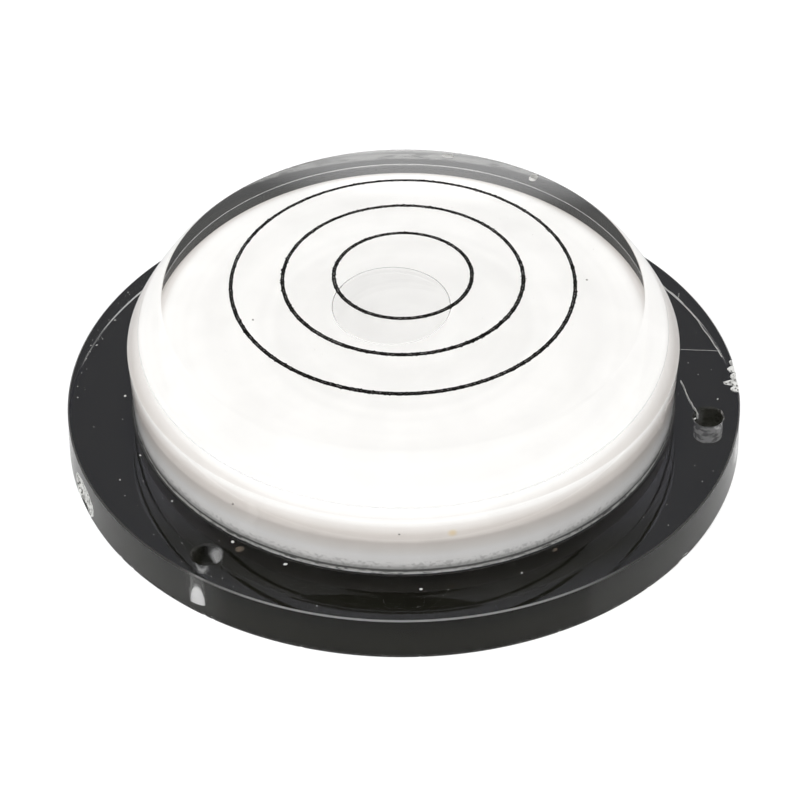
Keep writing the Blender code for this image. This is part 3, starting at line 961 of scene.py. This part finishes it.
def upright_sheet(path, top, depth, thickness):
    """A thin sheet that stands on edge along a path of (x, y) points, from a height down."""
    draw_path([(x, y, top) for x, y in path])
    bpy.ops.mesh.extrude_edges_move(TRANSFORM_OT_translate={"value": (0.0, 0.0, -depth)})
    bpy.ops.object.mode_set(mode="OBJECT")
    sheet = bpy.context.object
    bpy.ops.object.modifier_add(type="SOLIDIFY")
    sheet.modifiers[-1].thickness = thickness
    sheet.modifiers[-1].offset = 0.0
    bpy.ops.object.modifier_apply(modifier=sheet.modifiers[-1].name)
    return sheet


crazed, tree, shader = new_material("crazed_acrylic")
place = own_place(tree)
tinted(tree, shader, grain(tree, place, 2500.0, 4.0), (0.20, 0.20, 0.19), (0.78, 0.78, 0.76))
shader.inputs["Roughness"].default_value = 0.7
relief(tree, shader, grain(tree, place, 5000.0), 0.00003)
dice = random.Random(7)
sheets = []
for points, wander, depth, thickness in BREAKS:
    path = broken_line(points, wander, dice)
    sheet = upright_sheet(path, FLANGE_THICKNESS + BREAK_PROUD, depth, thickness)
    sheet.data.materials.append(crazed)
    sheets.append(sheet)
cracks = join(sheets, "cracks")
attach(cracks, "root")

# Dust and crumbs: flakes of acrylic, specks of dust, two smears of dried sealant and two dried drops,
# which lie on the flange and the dome or stick to the wall. A place is given by X and Y or, on the
# wall, by azimuth and height, and is followed by the size.
FLAKES = (
    (-0.0498, 0.0005, 0.00030),
    (-0.0465, -0.0160, 0.00022),
    (-0.0498, -0.0226, 0.00020),
    (-0.0405, -0.0284, 0.00022),
    (-0.0205, -0.0452, 0.00042),
    (-0.0297, -0.0393, 0.00034),
    (0.0027, -0.0519, 0.00028),
    (0.0200, -0.0479, 0.00020),
    (-0.0555, 0.0150, 0.00022),
    (-0.0525, 0.0222, 0.00022),
    (0.0517, -0.0070, 0.00030),
    (0.0560, -0.0016, 0.00018),
)
DOME_SPECKS = ((0.0323, 0.0012, 0.00022), (-0.0261, -0.0102, 0.00022), (-0.0108, -0.0033, 0.00020))
WALL_SPECKS = ((-91.1, 0.0181, 0.00022), (-127.3, 0.0166, 0.00025))
WALL_SPECK_RADIUS = WALL_FOOT_RADIUS + 0.0005
SEALANT_SMEARS = ((-0.0284, -0.0412, 0.0009), (0.0258, -0.0420, 0.0006))
DRIED_DROPS = ((0.0084, 0.0400, 0.0011), (0.0237, 0.0331, 0.0012))

# Scattered specks on the flange, sparse all round and dense at one place of its edge: how many, and
# between which azimuths, radii and sizes. The dome has specks of its own.
FLANGE_DUST = (
    (70, (-180.0, 180.0), (0.0489, 0.0595), (0.00004, 0.00010)),
    (26, (146.0, 181.0), (0.0570, 0.0592), (0.00004, 0.00012)),
)
DOME_DUST = 26
DOME_DUST_RADIUS = 0.041
DOME_DUST_SIZES = (0.00003, 0.00007)

# How tall each kind of crumb is, as a share of its size
FLAKE_HEIGHT = 0.3
DUST_HEIGHT = 0.4
WALL_SPECK_HEIGHT = 0.8
SMEAR_HEIGHT = 0.06
DROP_HEIGHT = 0.03


def crumb(place, size, flatness, material, dice):
    """An uneven crumb, sunk by half into the surface that it lies on."""
    bpy.ops.object.select_all(action="DESELECT")
    bpy.ops.mesh.primitive_ico_sphere_add(
        subdivisions=2,
        radius=1.0,
        location=place,
        rotation=(0.0, 0.0, dice.uniform(0.0, 3.1)),
        scale=(size, size * dice.uniform(0.5, 0.9), size * flatness),
    )
    bpy.ops.object.mode_set(mode="EDIT")
    bpy.ops.transform.vertex_random(
        offset=0.2 * size * flatness, uniform=1.0, normal=0.0, seed=dice.randrange(1000)
    )
    bpy.ops.object.mode_set(mode="OBJECT")
    piece = bpy.context.object
    piece.data.materials.append(material)
    return piece


def on_flange(x, y):
    return Vector((x, y, FLANGE_THICKNESS))


def on_dome(x, y):
    return Vector((x, y, dome_height(math.hypot(x, y))))


dust, tree, shader = new_material("pale_dust")
tinted(tree, shader, grain(tree, own_place(tree), 3000.0), (0.45, 0.45, 0.44), (0.72, 0.72, 0.70))
shader.inputs["Roughness"].default_value = 0.9
dark_dirt, tree, shader = new_material("dark_dirt")
tinted(tree, shader, grain(tree, own_place(tree), 3000.0), (0.16, 0.15, 0.14), (0.30, 0.28, 0.26))
shader.inputs["Roughness"].default_value = 0.9
dried_sealant, tree, shader = new_material("dried_sealant")
place = own_place(tree)
crust = fade(tree, grain(tree, place, 900.0, 4.0), 0.4, 0.6)
tinted(tree, shader, crust, (0.020, 0.017, 0.013), (0.09, 0.07, 0.05))
shader.inputs["Roughness"].default_value = 0.6
relief(tree, shader, grain(tree, place, 1500.0), 0.00005)
dried_drop, tree, shader = clear_material("dried_drop", ACRYLIC_IOR, 0.5)
place = own_place(tree)
tinted(tree, shader, grain(tree, place, 2000.0), (0.70, 0.69, 0.66), (0.90, 0.89, 0.87))
clearness = fade(tree, grain(tree, place, 700.0, 4.0), 0.4, 0.6, 0.65, 0.92)
tree.links.new(clearness, shader.inputs["Transmission Weight"])

dice = random.Random(11)
crumbs = []
for x, y, size in FLAKES:
    crumbs.append(crumb(on_flange(x, y), size, FLAKE_HEIGHT, dust, dice))
for count, azimuths, radii, flake_sizes in FLANGE_DUST:
    for _ in range(count):
        azimuth = dice.uniform(*azimuths)
        radius = dice.uniform(*radii)
        size = dice.uniform(*flake_sizes)
        crumbs.append(crumb(on_circle(radius, azimuth, FLANGE_THICKNESS), size, DUST_HEIGHT, dust, dice))
for x, y, size in DOME_SPECKS:
    crumbs.append(crumb(on_dome(x, y), size, FLAKE_HEIGHT, dark_dirt, dice))
for azimuth, height, size in WALL_SPECKS:
    place = on_circle(WALL_SPECK_RADIUS, azimuth, height)
    crumbs.append(crumb(place, size, WALL_SPECK_HEIGHT, dark_dirt, dice))
for _ in range(DOME_DUST):
    azimuth = dice.uniform(-180.0, 180.0)
    radius = DOME_DUST_RADIUS * math.sqrt(dice.random())
    size = dice.uniform(*DOME_DUST_SIZES)
    place = on_circle(radius, azimuth, dome_height(radius))
    crumbs.append(crumb(place, size, DUST_HEIGHT, dark_dirt, dice))
for x, y, size in SEALANT_SMEARS:
    crumbs.append(crumb(on_flange(x, y), size, SMEAR_HEIGHT, dried_sealant, dice))
for x, y, size in DRIED_DROPS:
    crumbs.append(crumb(on_dome(x, y), size, DROP_HEIGHT, dried_drop, dice))
dust_and_crumbs = join(crumbs, "dust_and_crumbs")
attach(dust_and_crumbs, "root")
